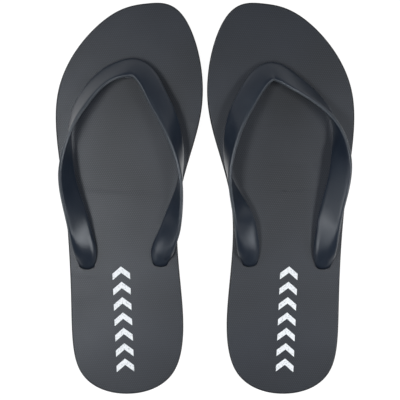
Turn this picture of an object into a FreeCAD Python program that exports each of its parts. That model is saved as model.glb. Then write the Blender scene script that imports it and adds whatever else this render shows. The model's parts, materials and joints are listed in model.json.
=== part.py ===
"""A pair of flip flops: two laminated soles, each with a V strap plugged through it.

Each sandal is drawn in its own frame and then placed. Its origin is the middle of the heel's
back end at floor level, +Y runs to the toes, and the inner side is the side of the big toe.
Each layer of a sole is cut once, across the ball of the foot, where the sandal bends.
"""
import FreeCAD, Part
import math
import os

import Sketcher
from FreeCAD import Placement, Rotation, Vector

doc = FreeCAD.newDocument("FlipFlops")

# ------------------------------------------------------------------ driving dimensions
# Millimetres, and degrees for the two angles. "Forward" is measured from the heel's end, "outer"
# and "inner" from the sandal's own axis. The inner anchor is anchor_stagger ahead of the outer.
SIZES = {
    "sole_length": 280,
    "ball_width": 105,
    "waist_width": 77.5,
    "heel_width": 80.5,
    "footbed_thick": 3,
    "midsole_thick": 9,
    "outsole_thick": 3.5,
    "rim_round": 1.2,
    "flex_line": 178,
    "flex_gap": 0.4,
    "pair_gap": 3,
    "splay": 2.45,
    "anchor_forward": 90.5,
    "anchor_stagger": 4,
    "anchor_outer": 31,
    "anchor_inner": 21.5,
    "post_forward": 230,
    "post_outer": 6.5,
    "post_diameter": 6.5,
    "post_gap": 0.5,
    "apex_rise": 15.5,
    "strap_width": 18.5,
    "strap_thick": 2.6,
    "strap_arch": 28,
    "strap_span": 40,
    "stem_width": 11,
    "stem_thick": 4.5,
    "stem_knee": 5,
    "hole_gap": 0.2,
    "plug_diameter": 20,
    "plug_thick": 1.8,
    "plug_recess": 2,
    "seat_gap": 0.4,
    "tread_pitch": 9,
    "tread_groove": 3,
    "tread_depth": 1.2,
    "print_width": 12.5,
    "print_stroke": 4.5,
    "print_point": 5,
    "print_pitch": 11,
    "print_thick": 0.2,
    "print_forward": 16,
    "print_turn": 5,
}

sheet = doc.addObject("Spreadsheet::Sheet", "Sizes")
for row, (alias, value) in enumerate(SIZES.items(), start=1):
    sheet.set(f"A{row}", alias)
    sheet.set(f"B{row}", str(value))
    sheet.setAlias(f"B{row}", alias)
doc.recompute()

# The sole's closed outline. Each pole is the width that scales it, its share of that width
# towards the inner side, and its share of the sole's length from the heel.
OUTLINE = (
    ("ball_width", 0.04, 1.003),
    ("ball_width", -0.23, 0.983),
    ("ball_width", -0.64, 0.782),
    ("waist_width", -0.615, 0.510),
    ("heel_width", -0.50, 0.214),
    ("heel_width", -0.48, 0.031),
    ("heel_width", 0.00, -0.016),
    ("heel_width", 0.495, 0.036),
    ("heel_width", 0.52, 0.210),
    ("waist_width", 0.32, 0.503),
    ("ball_width", 0.53, 0.749),
    ("ball_width", 0.31, 1.013),
)
OUTLINE_DEGREE = 3
# Where the inner edge comes nearest to the other sandal, as shares of ball_width and sole_length.
NEAREST_ACROSS, NEAREST_ALONG = 0.4493, 0.749

# How each soft strap lies, from the outer anchor over the toe post to the inner anchor. Each
# station is its share of the way from the anchors to the post, its share of strap_span towards
# the inner side, its rise, and the band's lean. The rise is a share of strap_arch, or APEX over
# the post. A lean of 0 degrees is a band lying flat with its foot side up, and 90 is on edge.
APEX = "apex"
STRAP_STATIONS = {
    "left": (
        (0.21, -0.93, 0.60, 36),
        (0.49, -1.17, 0.97, 63),
        (0.80, -0.99, 0.90, 114),
        (1.00, -0.38, APEX, 129),
        (1.02, -0.12, APEX, 135),
        (0.83, 0.45, 0.88, 139),
        (0.51, 0.83, 0.95, 95),
        (0.23, 0.72, 0.64, 45),
    ),
    "right": (
        (0.23, -0.89, 0.61, 31),
        (0.55, -1.12, 1.10, 48),
        (0.75, -1.00, 0.79, 93),
        (0.93, -0.43, APEX, 124),
        (1.00, -0.02, APEX, 136),
        (0.83, 0.55, 0.90, 139),
        (0.52, 0.85, 0.95, 98),
        (0.22, 0.60, 0.60, 35),
    ),
}
STRAP_SECTIONS = 41
POST_SEARCH_SECTIONS = 321
KNEE_LEAN = 10
EDGE_ROUND = 0.42      # of the band's thickness

SIDES = {"left": 1, "right": -1}
SOLE_TOP = "(Sizes.outsole_thick + Sizes.midsole_thick + Sizes.footbed_thick)"
LAYER_FLOOR = {
    "outsole": "0 * Sizes.outsole_thick",
    "midsole": "Sizes.outsole_thick",
    "footbed": "Sizes.outsole_thick + Sizes.midsole_thick",
}
SPACING = (
    f"(Sizes.pair_gap + 2 * ({NEAREST_ACROSS} * Sizes.ball_width * cos(Sizes.splay)"
    f" + {NEAREST_ALONG} * Sizes.sole_length * sin(Sizes.splay)))"
)
TREAD_END = 0.6        # of a pitch, the least that the last groove stays off the layer's end
WIDE = "2 * Sizes.ball_width"
LONG = "2 * Sizes.sole_length"
PRINT_MARKS = 7
UP = Vector(0, 0, 1)


# ------------------------------------------------------------------ helpers
def value_of(expression):
    """The number that a sheet expression stands for."""
    return float(sheet.evalExpression(expression))


def size(alias):
    return value_of(f"Sizes.{alias}")


def sandal_frame(hand, floor):
    """Where a sandal stands in the pair: its place and its turn, worked out now."""
    base = Vector(-hand * value_of(SPACING) / 2, -size("sole_length") / 2, floor)
    return Placement(base, Rotation(UP * -hand, size("splay")))


def place_sandal_piece(piece, hand, floor):
    """Stand a piece, drawn in its sandal's frame, in the pair's, and hold it there."""
    piece.Placement = sandal_frame(hand, value_of(floor))
    piece.setExpression("Placement.Base.x", f"{-hand} * {SPACING} / 2")
    piece.setExpression("Placement.Base.y", "-Sizes.sole_length / 2")
    piece.setExpression("Placement.Base.z", floor)
    piece.setExpression("Placement.Rotation.Angle", "Sizes.splay")


def new_body(name, hand, floor):
    body = doc.addObject("PartDesign::Body", name)
    body.Label = name
    place_sandal_piece(body, hand, floor)
    return body


def new_sketch(body, name):
    """An empty sketch on the body's own XY plane."""
    sketch = body.newObject("Sketcher::SketchObject", name)
    ground = next(f for f in body.Origin.OriginFeatures if f.Role == "XY_Plane")
    sketch.AttachmentSupport = [(ground, "")]
    sketch.MapMode = "FlatFace"
    return sketch


def pin_point(sketch, geometry, point, across, along):
    """Hold a point of a sketch at two sheet expressions from the origin."""
    for kind, expression in (("DistanceX", across), ("DistanceY", along)):
        rule = Sketcher.Constraint(kind, -1, 1, geometry, point, value_of(expression))
        index = sketch.addConstraint(rule)
        sketch.setExpression(f"Constraints[{index}]", expression)


def outline_sketch(body, hand):
    """The sole's closed outline: one smooth curve, held by its poles."""
    sketch = new_sketch(body, "Outline")
    places = [
        (f"Sizes.{width} * {hand * across}", f"Sizes.sole_length * {along}")
        for width, across, along in OUTLINE
    ]
    poles = [Vector(value_of(across), value_of(along), 0) for across, along in places]
    curve = Part.BSplineCurve()
    curve.buildFromPoles(poles, True, OUTLINE_DEGREE)
    sketch.exposeInternalGeometry(sketch.addGeometry(curve, False))
    for index, (across, along) in enumerate(places, start=1):
        pin_point(sketch, index, 3, across, along)
    return sketch


def polygon_sketch(body, name, corners):
    """A closed straight-sided profile whose corners are pairs of sheet expressions."""
    sketch = new_sketch(body, name)
    points = [Vector(value_of(across), value_of(along), 0) for across, along in corners]
    for start, end in zip(points, points[1:] + points[:1]):
        sketch.addGeometry(Part.LineSegment(start, end), False)
    for index, (across, along) in enumerate(corners):
        following = (index + 1) % len(corners)
        sketch.addConstraint(Sketcher.Constraint("Coincident", index, 2, following, 1))
        pin_point(sketch, index, 1, across, along)
    return sketch


def rectangle(left, right, near, far):
    return [(left, near), (right, near), (right, far), (left, far)]


def circle_sketch(body, name, across, along, diameter):
    sketch = new_sketch(body, name)
    centre = Vector(value_of(across), value_of(along), 0)
    sketch.addGeometry(Part.Circle(centre, UP, value_of(diameter) / 2), False)
    pin_point(sketch, 0, 3, across, along)
    index = sketch.addConstraint(Sketcher.Constraint("Diameter", 0, value_of(diameter)))
    sketch.setExpression(f"Constraints[{index}]", diameter)
    return sketch


def pad(body, sketch, thickness):
    feature = body.newObject("PartDesign::Pad", "Pad")
    feature.Profile = sketch
    feature.setExpression("Length", thickness)
    return feature


def cut_up(body, sketch, depth=None):
    """Cut a profile upwards from the body's floor, right through if no depth is given."""
    feature = body.newObject("PartDesign::Pocket", "Pocket")
    feature.Profile = sketch
    feature.Reversed = True
    if depth is None:
        feature.Type = "ThroughAll"
    else:
        feature.setExpression("Length", depth)
    return feature


# ------------------------------------------------------------------ the layers of a sole
def keep_half(body, half):
    """Cut a layer off at the flex line, and leave its front or its rear."""
    if half == "front":
        near, far = f"-{LONG}", "Sizes.flex_line + Sizes.flex_gap / 2"
    else:
        near, far = "Sizes.flex_line - Sizes.flex_gap / 2", LONG
    waste = polygon_sketch(body, "Waste", rectangle(f"-{WIDE}", WIDE, near, far))
    return cut_up(body, waste)


def round_top_rim(body, base):
    """Round the curved edge where the side wall meets the top."""
    doc.recompute()
    near_top = base.Shape.BoundBox.ZMax - size("rim_round")
    rims = [
        f"Edge{number}"
        for number, edge in enumerate(base.Shape.Edges, start=1)
        if edge.BoundBox.ZMin > near_top and edge.Curve.TypeId != "Part::GeomLine"
    ]
    fillet = body.newObject("PartDesign::Fillet", "Rim")
    fillet.Base = (base, rims)
    fillet.setExpression("Radius", "Sizes.rim_round")


def anchor_centres(hand):
    """Where the strap's two side stems go down, outer first."""
    return (
        (f"{-hand} * Sizes.anchor_outer", "Sizes.anchor_forward"),
        (f"{hand} * Sizes.anchor_inner", "Sizes.anchor_forward + Sizes.anchor_stagger"),
    )


def post_centre(hand):
    return (f"{-hand} * Sizes.post_outer", "Sizes.post_forward")


def cut_strap_holes(body, half, hand):
    """Flat holes for the side stems in the rear, and a round one for the toe post in front."""
    if half == "front":
        bore = "Sizes.post_diameter + 2 * Sizes.hole_gap"
        cut_up(body, circle_sketch(body, "PostHole", *post_centre(hand), bore))
        return
    half_width = "(Sizes.stem_width / 2 + Sizes.hole_gap)"
    half_thick = "(Sizes.stem_thick / 2 + Sizes.hole_gap)"
    for across, along in anchor_centres(hand):
        hole = rectangle(
            f"{across} - {half_width}", f"{across} + {half_width}",
            f"({along}) - {half_thick}", f"({along}) + {half_thick}",
        )
        cut_up(body, polygon_sketch(body, "StemHole", hole))


def cut_plug_recesses(body, half, hand):
    """Round seats in the underside for the strap's plugs."""
    centres = [post_centre(hand)] if half == "front" else anchor_centres(hand)
    seat = "Sizes.plug_diameter + 2 * Sizes.seat_gap"
    for across, along in centres:
        cut_up(body, circle_sketch(body, "PlugSeat", across, along, seat), "Sizes.plug_recess")


def cut_tread(body, half):
    """Level grooves across the underside, from one end of the layer to the flex line."""
    if half == "front":
        start, run = "Sizes.flex_line", "(Sizes.sole_length - Sizes.flex_line)"
    else:
        start, run = "0 * Sizes.flex_line", "Sizes.flex_line"
    first = f"{start} + Sizes.tread_pitch"
    groove = polygon_sketch(body, "Groove", rectangle(
        f"-{WIDE}", WIDE,
        f"{first} - Sizes.tread_groove / 2", f"{first} + Sizes.tread_groove / 2",
    ))
    pocket = cut_up(body, groove, "Sizes.tread_depth")
    doc.recompute()
    row = body.newObject("PartDesign::LinearPattern", "Tread")
    row.Originals = [pocket]
    row.Direction = (groove, ["V_Axis"])
    count = f"floor({run} / Sizes.tread_pitch - {TREAD_END})"
    row.setExpression("Occurrences", count)
    row.setExpression("Length", f"({count} - 1) * Sizes.tread_pitch")
    body.Tip = row


def make_layer(side, layer, half):
    hand = SIDES[side]
    body = new_body(f"{side}_{layer}_{half}", hand, LAYER_FLOOR[layer])
    pad(body, outline_sketch(body, hand), f"Sizes.{layer}_thick")
    slab = keep_half(body, half)
    if layer == "footbed":
        round_top_rim(body, slab)
    cut_strap_holes(body, half, hand)
    if layer == "outsole":
        cut_plug_recesses(body, half, hand)
        cut_tread(body, half)
    return body


# ------------------------------------------------------------------ the strap
def strap_path(side):
    """Rows of (x, y, z, lean, width, thickness) along the strap, with z from the footbed."""
    back, post = size("anchor_forward"), size("post_forward")
    stem = (size("stem_width"), size("stem_thick"))
    band = (size("strap_width"), size("strap_thick"))
    knee = size("stem_knee")
    knee_size = tuple((one + other) / 2 for one, other in zip(stem, band))
    outer, inner = -size("anchor_outer"), size("anchor_inner")
    rows = [(outer, back, 0, 0, *stem), (outer, back + knee, knee, KNEE_LEAN, *knee_size)]
    for forward, across, rise, lean in STRAP_STATIONS[side]:
        z = size("apex_rise") if rise == APEX else rise * size("strap_arch")
        rows.append((across * size("strap_span"), back + forward * (post - back), z, lean, *band))
    ahead = back + size("anchor_stagger")
    rows += [(inner, ahead + knee, knee, KNEE_LEAN, *knee_size), (inner, ahead, 0, 0, *stem)]
    return rows


def along_path(rows, count):
    """Evenly spaced rows on a smooth curve through the given ones, upright at both ends."""
    steps = [math.dist(a[:3], b[:3]) for a, b in zip(rows, rows[1:])]
    knots = [sum(steps[:i]) for i in range(len(rows))]
    slopes = [[(q - p) / step for p, q in zip(a, b)] for a, b, step in zip(rows, rows[1:], steps)]
    turns = [[0, 0, 1, 0, 0, 0]]
    for before, after, step, following in zip(slopes, slopes[1:], steps, steps[1:]):
        weight = step / (step + following)
        turns.append([p * (1 - weight) + q * weight for p, q in zip(before, after)])
    turns.append([0, 0, -1, 0, 0, 0])

    samples = []
    for index in range(count):
        where = knots[-1] * index / (count - 1)
        span = max(i for i in range(len(steps)) if knots[i] <= where or i == 0)
        step = steps[span]
        s = (where - knots[span]) / step
        ease = (2 * s**3 - 3 * s**2 + 1, s**3 - 2 * s**2 + s, 3 * s**2 - 2 * s**3, s**3 - s**2)
        samples.append([
            ease[0] * p + ease[1] * step * m + ease[2] * q + ease[3] * step * n
            for p, m, q, n in zip(rows[span], turns[span], rows[span + 1], turns[span + 1])
        ])
    return samples


def band_frames(samples):
    """At each sample: centre, direction across the band, direction to its foot side, sizes."""
    frames = []
    centres = [Vector(*sample[:3]) for sample in samples]
    heading = Vector(0, 1, 0)
    for index, sample in enumerate(samples):
        before, after = centres[max(index - 1, 0)], centres[min(index + 1, len(samples) - 1)]
        tangent = (after - before).normalize()
        if index in (0, len(samples) - 1):
            heading = Vector(0, 1 if index == 0 else -1, 0)
            tangent = UP if index == 0 else UP * -1
        else:
            heading = Vector(tangent.x, tangent.y, 0).normalize()
        level = UP.cross(heading)
        lean = math.radians(sample[3])
        across = level * math.cos(lean) + tangent.cross(level) * math.sin(lean)
        frames.append((centres[index], across, tangent.cross(across), sample[4], sample[5]))
    return frames


def band_section(frame, hand):
    """A rounded rectangle round one sample of the path, mirrored for the other foot."""
    centre, across, foot_side, width, thick = frame
    radius = EDGE_ROUND * thick
    inset = radius * (1 - math.sqrt(0.5))

    def spot(u, v):
        point = centre + across * u + foot_side * v
        return Vector(hand * point.x, point.y, point.z)

    edges = []
    quarters = ((1, 1), (-1, 1), (-1, -1), (1, -1))
    for (u, v), (next_u, next_v) in zip(quarters, quarters[1:] + quarters[:1]):
        side_end = spot(u * width / 2, v * (thick / 2 - radius))
        face_end = spot(u * (width / 2 - radius), v * thick / 2)
        middle = spot(u * (width / 2 - inset), v * (thick / 2 - inset))
        flat = u != next_u
        start, end = (side_end, face_end) if flat else (face_end, side_end)
        edges.append(Part.Arc(start, middle, end).toShape())
        if flat:
            following = spot(next_u * (width / 2 - radius), next_v * thick / 2)
        else:
            following = spot(next_u * width / 2, next_v * (thick / 2 - radius))
        edges.append(Part.LineSegment(end, following).toShape())
    return Part.Wire(edges)


def make_strap(side):
    """The V band with its two side stems and their plugs, one soft moulding."""
    hand = SIDES[side]
    top = value_of(SOLE_TOP)
    frames = band_frames(along_path(strap_path(side), STRAP_SECTIONS))
    shape = Part.makeLoft([band_section(frame, hand) for frame in frames], True, False)
    seat = size("plug_recess")
    for frame in (frames[0], frames[-1]):
        foot = Part.Face(band_section(frame, hand))
        stem = foot.extrude(Vector(0, 0, seat - top))
        low = frame[0] + Vector(0, 0, seat - size("plug_thick") - top)
        low.x *= hand
        plug = Part.makeCylinder(size("plug_diameter") / 2, size("plug_thick"), low)
        shape = shape.fuse([stem, plug])
    piece = doc.addObject("Part::Feature", f"{side}_strap")
    piece.Label = f"{side}_strap"
    piece.Shape = shape.removeSplitter()
    piece.Placement = sandal_frame(hand, top)
    return piece


def make_toe_post(side):
    """The stem between the toes with its plug, cut off at a slant just under the band."""
    hand = SIDES[side]
    name = f"{side}_toe_post"
    frames = band_frames(along_path(strap_path(side), POST_SEARCH_SECTIONS))
    in_front = [frame for frame in frames if frame[0].y > size("flex_line")]
    over = min(in_front, key=lambda frame: abs(frame[0].x + size("post_outer")))
    centre, _, foot_side, _, thick = over
    touch = centre + foot_side * (thick / 2 + size("post_gap"))

    stem = doc.addObject("Part::Cylinder", f"{name}_stem")
    stem.setExpression("Radius", "Sizes.post_diameter / 2")
    stem.setExpression("Height", f"{SOLE_TOP} + Sizes.strap_arch - Sizes.plug_recess")
    stem.setExpression("Placement.Base.z", "Sizes.plug_recess")
    plug = doc.addObject("Part::Cylinder", f"{name}_plug")
    plug.setExpression("Radius", "Sizes.plug_diameter / 2")
    plug.setExpression("Height", "Sizes.plug_thick")
    plug.setExpression("Placement.Base.z", "Sizes.plug_recess - Sizes.plug_thick")
    for piece in (stem, plug):
        piece.setExpression("Placement.Base.x", post_centre(hand)[0])
        piece.setExpression("Placement.Base.y", post_centre(hand)[1])
    whole = doc.addObject("Part::Fuse", f"{name}_whole")
    whole.Base = stem
    whole.Tool = plug

    block = doc.addObject("Part::Box", f"{name}_block")
    for edge in ("Length", "Width", "Height"):
        block.setExpression(edge, "2 * Sizes.strap_arch")
    reach = size("strap_arch")
    face = Vector(hand * touch.x, touch.y, touch.z + value_of(SOLE_TOP))
    facing = Vector(-hand * foot_side.x, -foot_side.y, -foot_side.z)
    level = Vector(1, 0, 0)
    turn = Rotation(level, facing.cross(level), facing, "ZXY")
    block.Placement = Placement(face - turn.multVec(Vector(reach, reach, 0)), turn)

    post = doc.addObject("Part::Cut", name)
    post.Base = whole
    post.Tool = block
    post.Label = name
    place_sandal_piece(post, hand, LAYER_FLOOR["outsole"])
    return post


# ------------------------------------------------------------------ the print on the heel
def make_heel_print(side):
    """A row of plain chevrons that point to the toes, printed along the heel."""
    hand = SIDES[side]
    body = doc.addObject("PartDesign::Body", f"{side}_heel_print")
    body.Label = f"{side}_heel_print"
    half = "Sizes.print_width / 2"
    corners = [
        (f"-{half}", "0 * Sizes.print_width"),
        ("0 * Sizes.print_width", "Sizes.print_point"),
        (half, "0 * Sizes.print_width"),
        (half, "Sizes.print_stroke"),
        ("0 * Sizes.print_width", "Sizes.print_point + Sizes.print_stroke"),
        (f"-{half}", "Sizes.print_stroke"),
    ]
    mark = polygon_sketch(body, "Mark", corners)
    ink = pad(body, mark, "Sizes.print_thick")
    doc.recompute()
    row = body.newObject("PartDesign::LinearPattern", "Marks")
    row.Originals = [ink]
    row.Direction = (mark, ["V_Axis"])
    row.Occurrences = PRINT_MARKS
    row.setExpression("Length", f"{PRINT_MARKS - 1} * Sizes.print_pitch")
    body.Tip = row
    along = Placement(Vector(0, size("print_forward"), 0), Rotation(UP * hand, size("print_turn")))
    body.Placement = sandal_frame(hand, value_of(SOLE_TOP)).multiply(along)
    return body


# ------------------------------------------------------------------ both sandals
pieces = []
for side in SIDES:
    for layer in ("outsole", "midsole", "footbed"):
        for half in ("front", "rear"):
            pieces.append(make_layer(side, layer, half))
    pieces.append(make_toe_post(side))
    pieces.append(make_strap(side))
    pieces.append(make_heel_print(side))
doc.recompute()

# ------------------------------------------------------------------ checks and export
for item in doc.Objects:
    if "Invalid" in item.State or "Error" in item.State:
        raise RuntimeError(f"{item.Name} did not recompute: {item.State}")
for piece in pieces:
    if piece.Shape.isNull() or not piece.Shape.isValid():
        raise RuntimeError(f"{piece.Label} has no valid shape")

os.makedirs("parts", exist_ok=True)
for piece in pieces:
    piece.Shape.exportStep(f"parts/{piece.Label}.step")
    box = piece.Shape.BoundBox
    print(
        f"{piece.Label:22s} {piece.Shape.Volume:10.1f} mm3  {len(piece.Shape.Solids)} solid(s)"
        f"  z {box.ZMin:6.2f} to {box.ZMax:6.2f}"
    )
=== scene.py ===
import json
import math

import bmesh
import bpy
from mathutils import Matrix, Vector, kdtree, noise


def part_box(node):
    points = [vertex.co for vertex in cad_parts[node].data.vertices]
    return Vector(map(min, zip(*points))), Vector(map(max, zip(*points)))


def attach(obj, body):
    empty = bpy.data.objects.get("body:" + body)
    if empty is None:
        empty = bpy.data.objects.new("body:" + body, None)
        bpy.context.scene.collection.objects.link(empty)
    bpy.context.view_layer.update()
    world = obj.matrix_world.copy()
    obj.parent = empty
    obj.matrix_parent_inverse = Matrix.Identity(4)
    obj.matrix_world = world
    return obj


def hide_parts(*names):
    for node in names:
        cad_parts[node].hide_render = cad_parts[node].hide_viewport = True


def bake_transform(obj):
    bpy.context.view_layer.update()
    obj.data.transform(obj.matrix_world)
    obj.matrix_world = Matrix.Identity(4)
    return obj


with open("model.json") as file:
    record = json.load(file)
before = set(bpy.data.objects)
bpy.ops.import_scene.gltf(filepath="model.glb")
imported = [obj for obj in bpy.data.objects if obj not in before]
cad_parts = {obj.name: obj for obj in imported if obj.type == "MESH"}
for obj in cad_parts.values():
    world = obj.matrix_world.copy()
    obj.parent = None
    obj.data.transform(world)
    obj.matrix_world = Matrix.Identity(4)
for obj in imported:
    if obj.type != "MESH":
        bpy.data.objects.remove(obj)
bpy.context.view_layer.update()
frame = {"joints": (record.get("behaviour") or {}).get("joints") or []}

# ---------------------------------------------------------------- outsoles
# The bottom sheet of each sandal, firm black rubber glued under the foam. It is die cut to the
# foot's outline, with waved grooves across it for grip and a round seat for each strap plug.
MM = 0.001
SANDALS = {"left": 1, "right": -1}
UP = Vector((0, 0, 1))

# The outline's poles: half widths of the foot towards the big toe, and distances from the heel.
BALL, WAIST, HEEL, LENGTH = 105 * MM, 77.5 * MM, 80.5 * MM, 280 * MM
OUTLINE = (
    (0.04 * BALL, 1.003), (-0.23 * BALL, 0.983), (-0.64 * BALL, 0.782), (-0.615 * WAIST, 0.510),
    (-0.50 * HEEL, 0.214), (-0.48 * HEEL, 0.031), (0.0, -0.016), (0.495 * HEEL, 0.036),
    (0.52 * HEEL, 0.210), (0.32 * WAIST, 0.503), (0.53 * BALL, 0.749), (0.31 * BALL, 1.013),
)
OUTLINE_FINENESS = 24

GROUND_ROUND, LAYER_ROUND, ROUND_STEPS = 0.5 * MM, 0.25 * MM, 4

FLEX_LINE = 178 * MM
BEND_REACH = 32 * MM
BEND_STRIPS = 16

# Where the two stems and the post go through the sole of a left sandal: across, and from the heel.
ANCHORS = ((-31 * MM, 90.5 * MM), (21.5 * MM, 94.5 * MM))
POST = (-6.5 * MM, 230 * MM)
STEM_WIDTH, STEM_THICK, POST_WIDE = 11 * MM, 4.5 * MM, 6.5 * MM
HOLE_GAP, HOLE_ROUND, HOLE_STEPS = 0.2 * MM, 1.6 * MM, 12
BORE_LENGTH, BORE_SIDES = 60 * MM, 64
TONGUE_ROUND, TONGUE_REACH = 3.4 * MM, 1.5
PLUG_RADIUS, PLUG_SEAT = 10 * MM, 2 * MM

TREAD_BORDER, TREAD_PITCH, TREAD_GROOVE, TREAD_DEPTH = 5 * MM, 9 * MM, 3 * MM, 1.2 * MM
WAVE_HEIGHT, WAVE_LENGTH, WAVE_FADE, WAVE_CUTS = 1.8 * MM, 24 * MM, 10 * MM, 8


def joint_of(side):
    return next(j for j in frame["joints"] if j["name"] == f"{side}_toe_flex")


def sandal_place(side):
    """From a sandal's own frame, heel end at the origin and toes along +Y, to the pair's."""
    joint = joint_of(side)
    across = Vector(joint["axis"]).normalized()
    along = UP.cross(across)
    heel = Vector(joint["pos_m"]) - along * FLEX_LINE
    heel.z = 0
    turn = Matrix((across, along, UP)).transposed().to_4x4()
    return Matrix.Translation(heel) @ turn


def new_piece(name, bm, side):
    """Close a bmesh drawn in a sandal's frame, put it in the pair's, and make it an object."""
    bmesh.ops.remove_doubles(bm, verts=bm.verts, dist=0.001 * MM)
    bmesh.ops.recalc_face_normals(bm, faces=bm.faces)
    bmesh.ops.transform(bm, matrix=sandal_place(side), verts=bm.verts)
    mesh = bpy.data.meshes.new(name)
    bm.to_mesh(mesh)
    bm.free()
    piece = bpy.data.objects.new(name, mesh)
    bpy.context.scene.collection.objects.link(piece)
    return piece


def carve(piece, tool, operation):
    """Cut or join two closed pieces into the first one, and drop the second."""
    modifier = piece.modifiers.new("carve", "BOOLEAN")
    modifier.operation = operation
    modifier.solver = "MANIFOLD"
    modifier.object = tool
    bpy.context.view_layer.update()
    whole = piece.evaluated_get(bpy.context.evaluated_depsgraph_get())
    mesh = bpy.data.meshes.new_from_object(whole)
    piece.modifiers.clear()
    piece.data = mesh
    bpy.data.objects.remove(tool)


def finish_mesh(piece, material, sharp_from):
    """One material, and smooth shading with a crease where faces meet at more than an angle."""
    piece.data.materials.clear()
    piece.data.materials.append(material)
    piece.data.shade_smooth()
    piece.data.set_sharp_from_angle(angle=math.radians(sharp_from))


def new_verts(made):
    return [v for v in made["geom"] if isinstance(v, bmesh.types.BMVert)]


def strips(bm, start, end, count):
    """Cross cuts at even steps along the sandal."""
    for index in range(count + 1):
        cut = Vector((0, start + (end - start) * index / count, 0))
        everything = bm.verts[:] + bm.edges[:] + bm.faces[:]
        bmesh.ops.bisect_plane(bm, geom=everything, plane_co=cut, plane_no=(0, 1, 0))


def outline_slab(side, floor, top, lower_round, upper_round):
    """The foot's outline as a slab with rounded rims. Returns the bmesh."""
    curve = bpy.data.curves.new("outline", "CURVE")
    curve.dimensions = "3D"
    spline = curve.splines.new("NURBS")
    spline.points.add(len(OUTLINE) - 1)
    for point, (inner, share) in zip(spline.points, OUTLINE):
        point.co = (inner * SANDALS[side], share * LENGTH, floor, 1)
    spline.order_u = 4
    spline.use_cyclic_u = True
    spline.resolution_u = OUTLINE_FINENESS
    drawn = bpy.data.objects.new("outline", curve)
    ring = bpy.data.meshes.new_from_object(drawn)
    bm = bmesh.new()
    bm.from_mesh(ring)
    bpy.data.objects.remove(drawn)
    bottom = bmesh.ops.contextual_create(bm, geom=bm.edges[:])["faces"][0]
    raised = bmesh.ops.extrude_face_region(bm, geom=[bottom], use_keep_orig=True)
    bmesh.ops.translate(bm, vec=(0, 0, top - floor), verts=new_verts(raised))
    bmesh.ops.recalc_face_normals(bm, faces=bm.faces)
    for height, radius in ((floor, lower_round), (top, upper_round)):
        if radius:
            rim = [e for e in bm.edges if all(abs(v.co.z - height) < 1e-6 for v in e.verts)]
            bmesh.ops.bevel(bm, geom=rim, offset=radius, segments=ROUND_STEPS, profile=0.5,
                            affect="EDGES", material=-1)
    return bm


def cut_tread(bm, floor):
    """Waved grooves across the underside, inside a plain border."""
    base = max((f for f in bm.faces if f.normal.z < -0.99), key=lambda f: f.calc_area())
    bmesh.ops.inset_region(bm, faces=[base], thickness=TREAD_BORDER, use_even_offset=True)
    border = kdtree.KDTree(len(base.verts))
    for index, vert in enumerate(base.verts):
        border.insert(vert.co, index)
    border.balance()
    grooves = [TREAD_PITCH * (index + 1) for index in range(int(LENGTH / TREAD_PITCH) - 1)]
    cuts = [((0, y + side * TREAD_GROOVE / 2, 0), (0, 1, 0)) for y in grooves for side in (-1, 1)]
    reach = int(BALL / WAVE_LENGTH * WAVE_CUTS / 2)
    cuts += [((step * WAVE_LENGTH / WAVE_CUTS, 0, 0), (1, 0, 0))
             for step in range(-reach, reach + 1)]
    patch = [base, *base.edges, *base.verts]
    for spot, facing in cuts:
        patch = bmesh.ops.bisect_plane(bm, geom=patch, plane_co=spot, plane_no=facing)["geom"]
    in_groove = [
        f for f in patch if isinstance(f, bmesh.types.BMFace)
        and min(abs(f.calc_center_median().y - y) for y in grooves) < TREAD_GROOVE / 2]
    sunk = new_verts(bmesh.ops.extrude_face_region(bm, geom=in_groove))
    bmesh.ops.delete(bm, geom=in_groove, context="FACES")
    bmesh.ops.translate(bm, vec=(0, 0, TREAD_DEPTH), verts=sunk)
    level = [v for v in patch if isinstance(v, bmesh.types.BMVert) and v.is_valid]
    for vert in {*level, *sunk}:
        inside = min(border.find((vert.co.x, vert.co.y, floor))[2] / WAVE_FADE, 1)
        vert.co.y += WAVE_HEIGHT * inside * math.sin(2 * math.pi * vert.co.x / WAVE_LENGTH)


def tongue_depth(from_edge, radius):
    """How far the rounded heel side of a stem is drawn in, at a distance from its edge."""
    inset = min(max(1 - from_edge / (radius * TONGUE_REACH), 0), 1) if radius else 0
    return radius * (1 - math.sqrt(1 - inset ** 2))


def hole_outline():
    """A stem hole in plan: round towards the heel and nearly square towards the toes."""
    wide, thick = STEM_WIDTH / 2 + HOLE_GAP, STEM_THICK / 2 + HOLE_GAP
    steps = range(-HOLE_STEPS, HOLE_STEPS + 1)
    heel_side = [wide * math.sin(math.pi * step / (2 * HOLE_STEPS)) for step in steps]
    outline = [(x, tongue_depth(wide - abs(x), TONGUE_ROUND) - thick) for x in heel_side]
    return outline + [(wide, thick - HOLE_ROUND), (wide - HOLE_ROUND, thick),
                      (HOLE_ROUND - wide, thick), (-wide, thick - HOLE_ROUND)]


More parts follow.
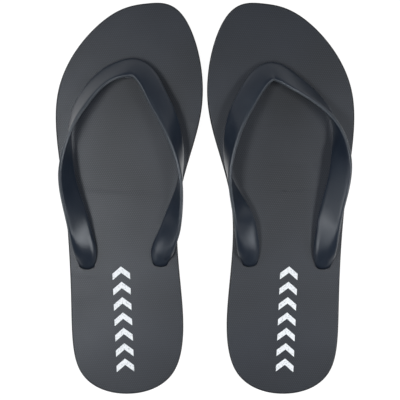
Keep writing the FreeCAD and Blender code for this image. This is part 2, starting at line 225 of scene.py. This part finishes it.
def bore_holes(piece, side, seats=False):
    """Cut the stem holes and the post hole through a layer, and plug seats where asked."""
    hand = SANDALS[side]
    bm = bmesh.new()
    for inner, forward in ANCHORS:
        corners = [bm.verts.new((inner * hand + x, forward + y, -BORE_LENGTH / 2))
                   for x, y in hole_outline()]
        raised = bmesh.ops.extrude_face_region(bm, geom=[bm.faces.new(corners)],
                                               use_keep_orig=True)
        bmesh.ops.translate(bm, vec=(0, 0, BORE_LENGTH), verts=new_verts(raised))
    rounds = [(POST, POST_WIDE / 2 + HOLE_GAP, BORE_LENGTH)]
    if seats:
        seat = PLUG_RADIUS + 2 * HOLE_GAP
        rounds += [(centre, seat, 2 * PLUG_SEAT) for centre in (*ANCHORS, POST)]
    tools = [("bores", bm)]
    for index, ((inner, forward), radius, depth) in enumerate(rounds):
        cutter = bmesh.new()
        bmesh.ops.create_cone(
            cutter, cap_ends=True, segments=BORE_SIDES, radius1=radius, radius2=radius,
            depth=depth, matrix=Matrix.Translation((inner * hand, forward, 0)))
        tools.append((f"bore_{index}", cutter))
    for name, cutter in tools:
        carve(piece, new_piece(name, cutter, side), "DIFFERENCE")


def bend(piece, side):
    """Bake the layer's transform into its mesh. It is not bent across the ball of the foot here.
    """
    place = sandal_place(side)
    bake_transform(piece)


def node(tree, kind, inputs=None, **settings):
    """A shader node with its settings and its inputs, each a value or another node's socket."""
    made = tree.nodes.new(f"ShaderNode{kind}")
    for key, value in settings.items():
        setattr(made, key, value)
    for key, value in (inputs or {}).items():
        if isinstance(value, bpy.types.NodeSocket):
            tree.links.new(value, made.inputs[key])
        else:
            made.inputs[key].default_value = value
    return made


def ramp(tree, factor, low, high, start, end):
    """A colour or a grey that goes from low to high as the factor goes from start to end."""
    made = node(tree, "ValToRGB", {"Fac": factor})
    for stop, place, colour in zip(made.color_ramp.elements, (start, end), (low, high)):
        stop.position = place
        stop.color = (*colour, 1) if isinstance(colour, tuple) else (colour, colour, colour, 1)
    return made.outputs["Color"]


def new_material(name, specular):
    made = bpy.data.materials.new(name)
    made.use_nodes = True
    shader = made.node_tree.nodes["Principled BSDF"]
    shader.inputs["Specular IOR Level"].default_value = specular
    spot = node(made.node_tree, "TexCoord").outputs["Object"]
    return made, made.node_tree, shader, spot


def cloud(tree, spot, size, detail=3.0, roughness=0.55):
    """Noise with blotches of about a size in millimetres."""
    inputs = {"Vector": spot, "Scale": 1 / (size * MM), "Detail": detail, "Roughness": roughness}
    return node(tree, "TexNoise", inputs).outputs["Fac"]


def relief(tree, height, depth, below=None):
    """A bump of a depth in millimetres, on top of another one where it is given."""
    inputs = {"Height": height, "Distance": depth * MM, "Strength": 1.0}
    if below is not None:
        inputs["Normal"] = below
    return node(tree, "Bump", inputs).outputs["Normal"]


rubber, tree, shader, spot = new_material("outsole_rubber", 0.45)
blotch = cloud(tree, spot, 14)
grit = cloud(tree, spot, 0.7, 4.0)
tree.links.new(ramp(tree, blotch, (0.020, 0.021, 0.023), (0.034, 0.035, 0.037), 0.35, 0.7),
               shader.inputs["Base Color"])
tree.links.new(ramp(tree, grit, 0.52, 0.74, 0.3, 0.7), shader.inputs["Roughness"])
tree.links.new(relief(tree, grit, 0.06), shader.inputs["Normal"])

for side in SANDALS:
    floor, top = (corner.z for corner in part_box(f"{side}_outsole_rear"))
    bm = outline_slab(side, floor, top, GROUND_ROUND, LAYER_ROUND)
    cut_tread(bm, floor)
    strips(bm, FLEX_LINE - BEND_REACH, FLEX_LINE + BEND_REACH, BEND_STRIPS)
    piece = new_piece(f"{side}_outsole", bm, side)
    bore_holes(piece, side, seats=True)
    finish_mesh(piece, rubber, 35)
    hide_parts(f"{side}_outsole_rear", f"{side}_outsole_front")
    bend(piece, side)

# ---------------------------------------------------------------- midsoles
# The thick middle layer, closed-cell foam that cushions the foot. It is cut with the layers
# above and below it, so its wall shows the foam's cells, and it pulls in a little when it cools.
WALL_HOLLOW = 0.3 * MM
WALL_RINGS = ((0.2, 0.6), (0.5, 1.0), (0.8, 0.6))

foam, tree, shader, spot = new_material("midsole_foam", 0.3)
cells = node(tree, "TexVoronoi", {"Vector": spot, "Scale": 1 / (0.55 * MM), "Randomness": 1.0})
dust = cloud(tree, spot, 9)
tree.links.new(ramp(tree, dust, (0.026, 0.028, 0.031), (0.040, 0.043, 0.047), 0.3, 0.7),
               shader.inputs["Base Color"])
tree.links.new(ramp(tree, dust, 0.78, 0.92, 0.3, 0.7), shader.inputs["Roughness"])
tree.links.new(relief(tree, cells.outputs["Distance"], 0.10), shader.inputs["Normal"])

for side in SANDALS:
    floor, top = (corner.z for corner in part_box(f"{side}_midsole_rear"))
    bm = outline_slab(side, floor, top, LAYER_ROUND, LAYER_ROUND)
    for share, depth in WALL_RINGS:
        cut = Vector((0, 0, floor + share * (top - floor)))
        everything = bm.verts[:] + bm.edges[:] + bm.faces[:]
        made = bmesh.ops.bisect_plane(bm, geom=everything, plane_co=cut, plane_no=UP)
        bm.normal_update()
        for vert in [v for v in made["geom_cut"] if isinstance(v, bmesh.types.BMVert)]:
            vert.co -= vert.normal * WALL_HOLLOW * depth
    strips(bm, FLEX_LINE - BEND_REACH, FLEX_LINE + BEND_REACH, BEND_STRIPS)
    piece = new_piece(f"{side}_midsole", bm, side)
    bore_holes(piece, side)
    finish_mesh(piece, foam, 35)
    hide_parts(f"{side}_midsole_rear", f"{side}_midsole_front")
    bend(piece, side)

# ---------------------------------------------------------------- footbeds
# The top sheet, denser foam with small round pips pressed into it in staggered rows, so that
# the foot doesn't slide. The pips run out over the rounded rim.
RIM_ROUND = 1.2 * MM
PIP_PITCH = 1.47 * MM
PIP_ROWS = PIP_PITCH * math.sqrt(3) / 2
PIP_HEIGHT = 0.16 * MM
PIP_CREST = 0.03 * MM
SHEET_WIDE, SHEET_LONG = 118 * MM, 292 * MM
PRESSED = 0.45


def pip_height(point):
    """How far the pips stand up at a place: less where the sheet was pressed unevenly."""
    return PIP_HEIGHT * (1 - PRESSED * (0.5 + 0.5 * noise.noise(point / (35 * MM))))


def pip_sheet(bm, level, base):
    """A block whose top carries the pips, with their crests a little above the level."""
    columns = round(SHEET_WIDE / (PIP_PITCH / 2))
    rows = round(SHEET_LONG / (PIP_ROWS / 2))
    bmesh.ops.create_grid(bm, x_segments=columns, y_segments=rows, size=0.5)
    bm.verts.ensure_lookup_table()
    for vert in bm.verts:
        column = round((vert.co.x + 0.5) * columns)
        row = round((vert.co.y + 0.5) * rows)
        shift = 0.25 if row % 2 else -0.25
        x = (column + shift - columns / 2) * PIP_PITCH / 2
        y = row * PIP_ROWS / 2 - (SHEET_LONG - LENGTH) / 2
        vert.co = Vector((x, y, level))
        crest = row % 2 == 0 and (column + row // 2) % 2 == 0
        vert.co.z += PIP_CREST if crest else PIP_CREST - pip_height(vert.co)
    bmesh.ops.triangulate(bm, faces=bm.faces, quad_method="SHORT_EDGE")
    border = [e for e in bm.edges if e.is_boundary]
    lowered = new_verts(bmesh.ops.extrude_edge_only(bm, edges=border))
    for vert in lowered:
        vert.co.z = base
    bmesh.ops.contextual_create(bm, geom=[e for e in bm.edges if e.is_boundary])


grained, tree, shader, spot = new_material("footbed_foam", 0.35)
blotch = cloud(tree, spot, 30)
skin = cloud(tree, spot, 0.35, 3.0)
tint = ramp(tree, blotch, (0.017, 0.021, 0.031), (0.022, 0.026, 0.036), 0.3, 0.7)
hollow = node(tree, "Attribute", attribute_name="hollow").outputs["Fac"]
# Painted shade: the colour darkens towards the bottom of the hollows between the pips, down to an
# eighth of its tint.
shade = ramp(tree, hollow, 1.0, 0.12, 0.1, 0.9)
mix = node(tree, "Mix", data_type="RGBA", blend_type="MULTIPLY")
mix.inputs["Factor"].default_value = 1
tree.links.new(tint, mix.inputs["A"])
tree.links.new(shade, mix.inputs["B"])
tree.links.new(mix.outputs["Result"], shader.inputs["Base Color"])
dull = node(tree, "Math", {0: ramp(tree, skin, 0.26, 0.36, 0.3, 0.7),
                           1: ramp(tree, hollow, 0.0, 0.12, 0.2, 0.9)}, operation="ADD")
tree.links.new(dull.outputs["Value"], shader.inputs["Roughness"])
tree.links.new(relief(tree, skin, 0.02), shader.inputs["Normal"])


def mark_hollows(piece, crest):
    """Store how far each point lies below the crests of the pips, where the colour is darkened as
    painted shade.
    """
    marks = piece.data.attributes.new("hollow", "FLOAT", "POINT")
    for vert, mark in zip(piece.data.vertices, marks.data):
        mark.value = min(max((crest - vert.co.z) / PIP_HEIGHT, 0), 1)


for side in SANDALS:
    floor, top = (corner.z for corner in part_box(f"{side}_footbed_rear"))
    bm = outline_slab(side, floor, top + PIP_CREST, LAYER_ROUND, RIM_ROUND)
    strips(bm, FLEX_LINE - BEND_REACH, FLEX_LINE + BEND_REACH, BEND_STRIPS)
    piece = new_piece(f"{side}_footbed", bm, side)
    pips = bmesh.new()
    pip_sheet(pips, top, floor - MM)
    carve(piece, new_piece("pips", pips, side), "INTERSECT")
    bore_holes(piece, side)
    mark_hollows(piece, top + PIP_CREST)
    finish_mesh(piece, grained, 50)
    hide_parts(f"{side}_footbed_rear", f"{side}_footbed_front")
    bend(piece, side)

# ---------------------------------------------------------------- straps
# One soft moulding for each sandal: a V-shaped band over the foot with a stem at each end and
# a post between the toes. Each goes through the sole and ends in a round plug under it.
BAND_WIDTH, BAND_THICK = 18.5 * MM, 2.6 * MM
STRAP_ARCH, STRAP_SPAN, APEX_RISE = 28 * MM, 40 * MM, 15.5 * MM
KNEE, KNEE_LEAN = 5 * MM, 10
EDGE_ROUND = 1.0 * MM
CROWN = 0.35 * MM
SECTIONS = 150
TONGUE_KEEL, TONGUE_SECTIONS = -0.3 * BAND_THICK, 16
CORNER_STEPS, SIDE_CUTS = 3, 6
STEM_DIVE, STEM_NECK = 1.5 * MM, 3 * MM
PLUG_THICK, PLUG_LIP = 1.8 * MM, 0.4 * MM
PLUG_FOOT = PLUG_SEAT - PLUG_THICK
PLUG_RINGS = ((0.97, PLUG_SEAT), (1, PLUG_SEAT - PLUG_LIP), (1, PLUG_FOOT + PLUG_LIP),
              (0.96, PLUG_FOOT), (0.5, PLUG_FOOT))
# The post's flare: shares of its radius, and millimetres below the band.
POST_SIDES = 32
POST_FLARE = ((1, 8), (1.03, 5), (1.1, 3.6), (1.22, 2.4), (1.4, 1.2), (1.5, 0), (1.5, -6))
# Places along each band: the share of the way to the post, of the span, of the arch, and the lean.
APEX = APEX_RISE / STRAP_ARCH
STATIONS = {
    "left": (
        (0.21, -0.93, 0.60, 36), (0.49, -1.17, 0.97, 63), (0.80, -0.99, 0.90, 114),
        (1.00, -0.38, APEX, 129), (1.02, -0.12, APEX, 135), (0.83, 0.45, 0.88, 139),
        (0.51, 0.83, 0.95, 95), (0.23, 0.72, 0.64, 45),
    ),
    "right": (
        (0.23, -0.89, 0.61, 31), (0.55, -1.12, 1.10, 48), (0.75, -1.00, 0.79, 93),
        (0.93, -0.43, APEX, 124), (1.00, -0.02, APEX, 136), (0.83, 0.55, 0.90, 139),
        (0.52, 0.85, 0.95, 98), (0.22, 0.60, 0.60, 35),
    ),
}


def strap_rows(side, top):
    """Rows of (x, y, z, lean, width, thickness) along the strap, in a left sandal's frame."""
    (outer, back), (inner, ahead) = ANCHORS
    stem = (STEM_WIDTH, STEM_THICK)
    knee = ((STEM_WIDTH + BAND_WIDTH) / 2, (STEM_THICK + BAND_THICK) / 2)
    rows = [(outer, back, top, 0, *stem), (outer, back + KNEE, top + KNEE, KNEE_LEAN, *knee)]
    for forward, across, rise, lean in STATIONS[side]:
        place = (across * STRAP_SPAN, back + forward * (POST[1] - back), top + rise * STRAP_ARCH)
        rows.append((*place, lean, BAND_WIDTH, BAND_THICK))
    rows += [(inner, ahead + KNEE, top + KNEE, KNEE_LEAN, *knee), (inner, ahead, top, 0, *stem)]
    return rows


def along_path(rows, count):
    """Evenly spaced rows on a smooth curve through the given ones, upright at both ends."""
    steps = [math.dist(a[:3], b[:3]) for a, b in zip(rows, rows[1:])]
    knots = [sum(steps[:i]) for i in range(len(rows))]
    slopes = [[(q - p) / step for p, q in zip(a, b)] for a, b, step in zip(rows, rows[1:], steps)]
    turns = [[0, 0, 1, 0, 0, 0]]
    for before, after, step, following in zip(slopes, slopes[1:], steps, steps[1:]):
        weight = step / (step + following)
        turns.append([p * (1 - weight) + q * weight for p, q in zip(before, after)])
    turns.append([0, 0, -1, 0, 0, 0])
    samples = []
    for index in range(count):
        where = knots[-1] * index / (count - 1)
        span = max(i for i in range(len(steps)) if knots[i] <= where or i == 0)
        step = steps[span]
        s = (where - knots[span]) / step
        ease = (2 * s**3 - 3 * s**2 + 1, s**3 - 2 * s**2 + s, 3 * s**2 - 2 * s**3, s**3 - s**2)
        samples.append([
            ease[0] * p + ease[1] * step * m + ease[2] * q + ease[3] * step * n
            for p, m, q, n in zip(rows[span], turns[span], rows[span + 1], turns[span + 1])
        ])
    return samples


def band_places(samples, hand):
    """A matrix for each sample that puts the band's own section there, leaning as it should."""
    centres = [Vector(sample[:3]) for sample in samples]
    last = len(samples) - 1
    places = []
    for index, sample in enumerate(samples):
        tangent = (centres[min(index + 1, last)] - centres[max(index - 1, 0)]).normalized()
        heading = Vector((tangent.x, tangent.y, 0)).normalized()
        if index in (0, last):
            heading = Vector((0, 1 if index == 0 else -1, 0))
            tangent = UP if index == 0 else -UP
        level = UP.cross(heading)
        lean = math.radians(sample[3])
        across = level * math.cos(lean) + tangent.cross(level) * math.sin(lean)
        foot_side = tangent.cross(across)
        turn = Matrix((across * sample[4] / BAND_WIDTH, foot_side * sample[5] / BAND_THICK,
                       tangent)).transposed().to_4x4()
        mirror = Matrix.Diagonal((hand, 1, 1, 1))
        places.append(mirror @ Matrix.Translation(centres[index]) @ turn)
    return places


def extrude_ring(bm, ring):
    """Extrude a closed ring of edges, and return the new ring and its vertices."""
    made = bmesh.ops.extrude_edge_only(bm, edges=ring)
    verts = new_verts(made)
    fresh = set(verts)
    return [e for e in bm.edges if e.verts[0] in fresh and e.verts[1] in fresh], verts


def add_plug(bm, ring, centre):
    """From the foot of a stem, spread the ring out into a round plug and close it below."""
    for share, height in PLUG_RINGS:
        ring, verts = extrude_ring(bm, ring)
        for vert in verts:
            out = Vector((vert.co.x - centre[0], vert.co.y - centre[1], 0)).normalized()
            vert.co = Vector((*centre, height)) + out * PLUG_RADIUS * share
    bmesh.ops.contextual_create(bm, geom=ring)


def band_ring(bm):
    """The band's section at the origin: flat on the foot side, lightly crowned outside.

    The layer "rim" marks the upper edge, where the colour is lightened as a painted highlight.
    """
    rim = bm.verts.layers.float.new("rim")
    half_wide, half_thick = BAND_WIDTH / 2, BAND_THICK / 2
    corners = ((1, 1), (-1, 1), (-1, -1), (1, -1))
    verts = [bm.verts.new((u * half_wide, v * half_thick, 0)) for u, v in corners]
    for one, other in zip(verts, verts[1:] + verts[:1]):
        bm.edges.new((one, other))
    bmesh.ops.bevel(bm, geom=verts, offset=EDGE_ROUND, segments=CORNER_STEPS, profile=0.5,
                    affect="VERTICES", material=-1)
    long_sides = [e for e in bm.edges if e.calc_length() > half_wide]
    bmesh.ops.subdivide_edges(bm, edges=long_sides, cuts=SIDE_CUTS)
    for vert in bm.verts:
        # The painted highlight's mask: 1 on the upper edge, fading to 0 across the edge's
        # rounding.
        vert[rim] = min(max((vert.co.x - half_wide) / EDGE_ROUND + 1, 0), 1)
        if vert.co.y < 0:
            vert.co.y -= CROWN * (1 - (vert.co.x / half_wide) ** 2)
    return bm.edges[:]


def round_end(place, verts, radius):
    """Round both corners of the foot side, so that the band ends like a tongue."""
    back = place.inverted()
    wide, thick = place.col[0].length, place.col[1].length
    for vert in verts:
        spot = back @ vert.co
        drawn_in = tongue_depth((BAND_WIDTH / 2 - abs(spot.x)) * wide, radius)
        above = max(spot.y - TONGUE_KEEL, 0)
        spot.y -= drawn_in / thick * above / (BAND_THICK / 2 - TONGUE_KEEL)
        vert.co = place @ spot


def strap_body(side, top):
    """The band with its two stems and their plugs. Returns the bmesh and the band's places."""
    hand = SANDALS[side]
    places = band_places(along_path(strap_rows(side, top), SECTIONS), hand)
    bm = bmesh.new()
    first = band_ring(bm)
    bmesh.ops.transform(bm, matrix=places[0], verts=bm.verts)
    ring = first
    sections = [(places[0], bm.verts[:])]
    for before, place in zip(places, places[1:]):
        ring, verts = extrude_ring(bm, ring)
        bmesh.ops.transform(bm, matrix=place @ before.inverted(), verts=verts)
        sections.append((place, verts))
    for index, (place, verts) in enumerate(sections):
        from_end = min(index, len(sections) - 1 - index) / TONGUE_SECTIONS
        if from_end < 1:
            round_end(place, verts, TONGUE_ROUND * (1 - from_end ** 2))
    for end, (inner, forward) in ((first, ANCHORS[0]), (ring, ANCHORS[1])):
        centre = Vector((inner * hand, forward, 0))
        for height in (top - STEM_DIVE, PLUG_SEAT + STEM_NECK, PLUG_SEAT + PLUG_LIP, PLUG_SEAT):
            end, verts = extrude_ring(bm, end)
            for vert in verts:
                vert.co.z = height
        add_plug(bm, end, centre.xy)
    return bm, places


def post_body(side, places):
    """The toe post: a round stem that flares under the band and ends in a plug."""
    hand = SANDALS[side]
    centre = (POST[0] * hand, POST[1])
    over = min((p for p in places if p.translation.y > FLEX_LINE),
               key=lambda p: abs(p.translation.x - centre[0]))
    radius = POST_WIDE / 2
    touch = over.translation
    facing = over.col[1].to_3d().normalized()
    bm = bmesh.new()
    bmesh.ops.create_circle(bm, segments=POST_SIDES, radius=radius,
                            matrix=Matrix.Translation((*centre, PLUG_SEAT)))
    base = bm.edges[:]
    ring = base
    for share, drop in POST_FLARE:
        ring, verts = extrude_ring(bm, ring)
        for vert in verts:
            out = Vector((vert.co.x - centre[0], vert.co.y - centre[1], 0)).normalized()
            vert.co = Vector((*centre, touch.z - drop * MM)) + out * radius * share
    bmesh.ops.contextual_create(bm, geom=ring)
    add_plug(bm, base, centre)
    everything = bm.verts[:] + bm.edges[:] + bm.faces[:]
    cut = bmesh.ops.bisect_plane(bm, geom=everything, plane_co=touch, plane_no=-facing,
                                 clear_outer=True)
    edges = [e for e in cut["geom_cut"] if isinstance(e, bmesh.types.BMEdge)]
    bmesh.ops.contextual_create(bm, geom=edges)
    return bm


vinyl, tree, shader, spot = new_material("strap_vinyl", 0.36)
blotch = cloud(tree, spot, 22)
pores = cloud(tree, spot, 0.5, 3.0)
tint = ramp(tree, blotch, (0.009, 0.013, 0.021), (0.013, 0.018, 0.027), 0.3, 0.7)
# Painted highlight: along the upper edge, marked by the layer "rim", the band's colour is mixed
# towards a paler grey.
rim = node(tree, "Attribute", attribute_name="rim").outputs["Fac"]
painted_rim_highlight = ramp(tree, rim, 0.0, 1.0, 0.4, 0.85)
mix = node(tree, "Mix", data_type="RGBA")
tree.links.new(painted_rim_highlight, mix.inputs["Factor"])
tree.links.new(tint, mix.inputs["A"])
mix.inputs["B"].default_value = (0.036, 0.041, 0.048, 1)
tree.links.new(mix.outputs["Result"], shader.inputs["Base Color"])
tree.links.new(ramp(tree, blotch, 0.29, 0.37, 0.3, 0.7), shader.inputs["Roughness"])
tree.links.new(relief(tree, pores, 0.012), shader.inputs["Normal"])

for side in SANDALS:
    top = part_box(f"{side}_footbed_rear")[1].z
    bm, places = strap_body(side, top)
    piece = new_piece(f"{side}_strap_moulding", bm, side)
    carve(piece, new_piece("post", post_body(side, places), side), "UNION")
    finish_mesh(piece, vinyl, 40)
    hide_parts(f"{side}_strap", f"{side}_toe_post")
    place = sandal_place(side)
    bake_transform(piece)

# ---------------------------------------------------------------- heel prints
# A row of seven plain chevrons that point to the toes, screen printed in white along the heel.
# The ink lies over the pips and is thin on their crests.
PRINT_WIDE, PRINT_STROKE, PRINT_POINT = 12.5 * MM, 4.5 * MM, 5 * MM
PRINT_PITCH, PRINT_FORWARD, PRINT_TURN, PRINT_MARKS = 11 * MM, 16 * MM, 5, 7
INK_THICK, INK_SOAK = 0.07 * MM, 0.05 * MM
INK_BLOCK, PIP_BLOCK = 2 * MM, 3 * MM

ink, tree, shader, spot = new_material("heel_ink", 0.4)
specks = cloud(tree, spot, 0.9, 5.0, 0.65)
tree.links.new(ramp(tree, specks, (0.22, 0.23, 0.24), (0.66, 0.66, 0.66), 0.34, 0.46),
               shader.inputs["Base Color"])
tree.links.new(ramp(tree, specks, 0.75, 0.55, 0.3, 0.5), shader.inputs["Roughness"])
tree.links.new(relief(tree, specks, 0.02), shader.inputs["Normal"])

for side, hand in SANDALS.items():
    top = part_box(f"{side}_footbed_rear")[1].z
    row = (Matrix.Translation((0, PRINT_FORWARD, top - INK_BLOCK / 2))
           @ Matrix.Rotation(math.radians(PRINT_TURN) * hand, 4, "Z"))
    half = PRINT_WIDE / 2
    corners = ((-half, 0), (0, PRINT_POINT), (half, 0), (half, PRINT_STROKE),
               (0, PRINT_POINT + PRINT_STROKE), (-half, PRINT_STROKE))
    marks = bmesh.new()
    for index in range(PRINT_MARKS):
        verts = [marks.verts.new((x, y + index * PRINT_PITCH, 0)) for x, y in corners]
        marks.faces.new(verts)
    raised = bmesh.ops.extrude_face_region(marks, geom=marks.faces[:], use_keep_orig=True)
    bmesh.ops.translate(marks, vec=(0, 0, INK_BLOCK), verts=new_verts(raised))
    bmesh.ops.transform(marks, matrix=row, verts=marks.verts)
    piece = new_piece(f"{side}_print_ink", marks, side)
    over, under = bmesh.new(), bmesh.new()
    pip_sheet(over, top + INK_THICK, top - PIP_BLOCK)
    pip_sheet(under, top - INK_SOAK, top - PIP_BLOCK)
    carve(piece, new_piece("over", over, side), "INTERSECT")
    carve(piece, new_piece("under", under, side), "DIFFERENCE")
    finish_mesh(piece, ink, 50)
    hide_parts(f"{side}_heel_print")
    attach(piece, f"{side}_sole_rear")

# ---------------------------------------------------------------- floor, light and camera
# A plain white table, lit softly from above, from two windows beyond the toes, and low from
# beside the heels. The camera looks straight down, and the table is clear from below.
CAMERA_SPOT = Vector((-3.6 * MM, -1 * MM, 1400 * MM))
CAMERA_FIELD = 11.81
FLOOR_HALF, FLOOR_DROP, FLOOR_GLOW = 4, 0.05 * MM, 0.98

bm = bmesh.new()
bmesh.ops.create_grid(bm, x_segments=1, y_segments=1, size=FLOOR_HALF)
bmesh.ops.translate(bm, vec=(0, 0, -FLOOR_DROP), verts=bm.verts)
mesh = bpy.data.meshes.new("floor")
bm.to_mesh(mesh)
bm.free()
table = bpy.data.objects.new("floor", mesh)
bpy.context.scene.collection.objects.link(table)
paper, tree, shader, spot = new_material("table_paper", 0.2)
shader.inputs["Base Color"].default_value = (0.08, 0.08, 0.08, 1)
shader.inputs["Roughness"].default_value = 0.9
shader.inputs["Emission Color"].default_value = (1, 1, 1, 1)
shader.inputs["Emission Strength"].default_value = FLOOR_GLOW
below = node(tree, "NewGeometry").outputs["Backfacing"]
clear = node(tree, "BsdfTransparent").outputs["BSDF"]
mix = node(tree, "MixShader")
tree.links.new(below, mix.inputs[0])
tree.links.new(shader.outputs["BSDF"], mix.inputs[1])
tree.links.new(clear, mix.inputs[2])
tree.links.new(mix.outputs["Shader"], tree.nodes["Material Output"].inputs["Surface"])
table.data.materials.append(paper)

LIGHT_TINT = (0.92, 0.96, 1.0)
# Each light's name, place, aim, size, power and spread.
LIGHTS = (
    ("overhead_left", (-0.22, -0.03, 0.9), (-0.03, 0, 0), (0.24, 0.12), 2.8, 180),
    ("overhead_right", (0.28, -0.03, 0.9), (0.03, 0, 0), (0.24, 0.12), 1.7, 180),
    ("left_window", (-0.75, 0.55, 0.75), (-0.05, 0.05, 0), (0.4, 0.4), 5.5, 180),
    ("right_window", (0.75, 0.55, 0.75), (0.05, 0.05, 0), (0.6, 0.5), 3, 180),
    ("heel_right", (0.30, -0.16, 0.22), (-0.09, -0.03, 0.02), (0.20, 0.12), 0.24, 100),
    ("heel_left", (-0.30, -0.20, 0.22), (0.09, -0.02, 0.02), (0.20, 0.12), 0.17, 100),
)
for name, place, aim, size, power, spread in LIGHTS:
    data = bpy.data.lights.new(name, "AREA")
    data.shape = "RECTANGLE"
    data.size, data.size_y = size
    data.energy = power
    data.color = LIGHT_TINT
    data.spread = math.radians(spread)
    light = bpy.data.objects.new(name, data)
    light.location = place
    light.rotation_euler = (Vector(aim) - Vector(place)).to_track_quat("-Z", "Y").to_euler()
    bpy.context.scene.collection.objects.link(light)

world = bpy.data.worlds.new("room")
world.use_nodes = True
world.node_tree.nodes["Background"].inputs["Color"].default_value = (0.93, 0.96, 1, 1)
world.node_tree.nodes["Background"].inputs["Strength"].default_value = 0.16
bpy.context.scene.world = world
bpy.context.scene.view_settings.view_transform = "Standard"

camera = bpy.data.objects.new("camera", bpy.data.cameras.new("camera"))
camera.data.lens = camera.data.sensor_width / 2 / math.tan(math.radians(CAMERA_FIELD / 2))
camera.data.clip_start, camera.data.clip_end = 0.1, 10
camera.location = CAMERA_SPOT
bpy.context.scene.collection.objects.link(camera)
bpy.context.scene.camera = camera
